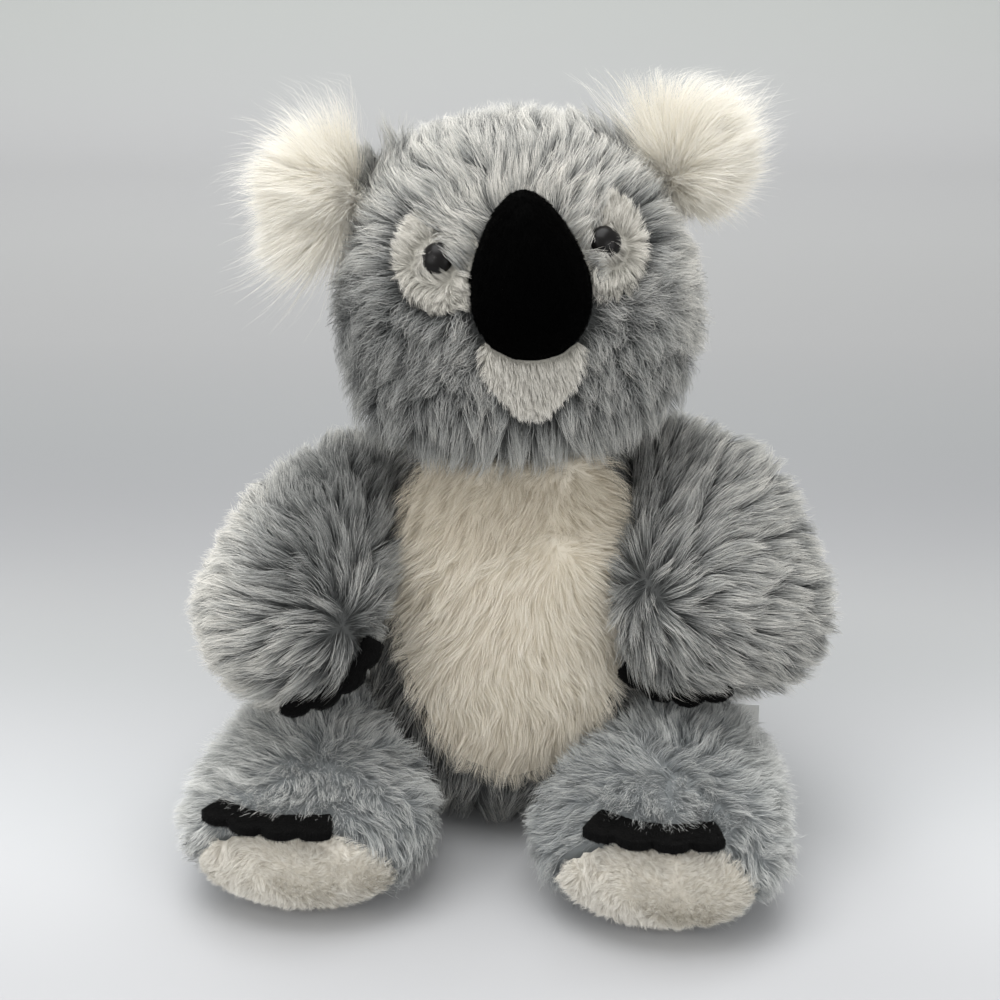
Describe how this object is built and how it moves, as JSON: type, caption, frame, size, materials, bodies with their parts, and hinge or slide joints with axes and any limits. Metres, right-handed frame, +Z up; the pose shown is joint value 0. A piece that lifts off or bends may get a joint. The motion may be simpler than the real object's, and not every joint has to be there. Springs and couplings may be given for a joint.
{
  "type": "seated plush koala",
  "caption": "Seated stuffed koala with grey and cream fur, turning head, folding ears, and arms and legs that swing at their seams.",
  "frame": {"origin": "on the floor under the middle of the seat", "axes": "+Z up, -Y the way the koala faces, +X towards its own left"},
  "size_m": [0.215, 0.1704, 0.2417],
  "materials": {
    "grey_fur": "long grey pile",
    "cream_fur": "cream pile",
    "white_pile": "short off-white pile",
    "black_felt": "black felt",
    "black_velvet": "black velvet",
    "gloss_black": "polished",
    "clear_nylon": "moulded",
    "label_satin": "satin ribbon"
  },
  "bodies": {
    "torso": {"torso": "grey_fur", "belly_panel": "cream_fur"},
    "head": {"head": "grey_fur", "nose": "black_velvet", "chin_patch": "white_pile", "eye_patch_left": "white_pile", "eye_patch_right": "white_pile", "eye_left": "gloss_black", "eye_right": "gloss_black", "eye_washer_left": "clear_nylon", "eye_washer_right": "clear_nylon"},
    "ear_left": {"ear_left": "grey_fur", "ear_tuft_left": "cream_fur"},
    "ear_right": {"ear_right": "grey_fur", "ear_tuft_right": "cream_fur"},
    "arm_left": {"arm_left": "grey_fur", "hand_claws_left": "black_felt"},
    "arm_right": {"arm_right": "grey_fur", "hand_claws_right": "black_felt"},
    "leg_left": {"leg_left": "grey_fur", "sole_left": "cream_fur", "foot_claws_left": "black_felt", "side_label": "label_satin"},
    "leg_right": {"leg_right": "grey_fur", "sole_right": "cream_fur", "foot_claws_right": "black_felt"}
  },
  "joints": [
    {"name": "neck_turn", "type": "hinge", "parent": "torso", "child": "head", "pos_m": [0, 0, 0.142], "axis": [0, 0, 1], "range_deg": [-20, 20], "stiffness_Nm_per_rad": 0.02},
    {"name": "ear_fold_left", "type": "hinge", "parent": "head", "child": "ear_left", "pos_m": [0.04713, 0.00368, 0.22183], "axis": [-0.5037, 0.1203, 0.8554], "range_deg": [-10, 10], "stiffness_Nm_per_rad": 0.004},
    {"name": "ear_fold_right", "type": "hinge", "parent": "head", "child": "ear_right", "pos_m": [-0.05255, -0.00384, 0.21374], "axis": [0.3363, 0.1837, 0.9236], "range_deg": [-10, 10], "stiffness_Nm_per_rad": 0.004},
    {"name": "shoulder_left", "type": "hinge", "parent": "torso", "child": "arm_left", "pos_m": [0.05223, 0.004, 0.113], "axis": [0, 0, 1], "range_deg": [0, 40], "stiffness_Nm_per_rad": 0.01},
    {"name": "shoulder_right", "type": "hinge", "parent": "torso", "child": "arm_right", "pos_m": [-0.05405, 0.004, 0.107], "axis": [0, 0, 1], "range_deg": [-40, 0], "stiffness_Nm_per_rad": 0.01},
    {"name": "hip_left", "type": "hinge", "parent": "torso", "child": "leg_left", "pos_m": [0.032, -0.01, 0.0247], "axis": [0, 0, 1], "range_deg": [0, 25], "stiffness_Nm_per_rad": 0.015},
    {"name": "hip_right", "type": "hinge", "parent": "torso", "child": "leg_right", "pos_m": [-0.032, -0.01, 0.0247], "axis": [0, 0, 1], "range_deg": [-10, 17], "stiffness_Nm_per_rad": 0.015}
  ]
}
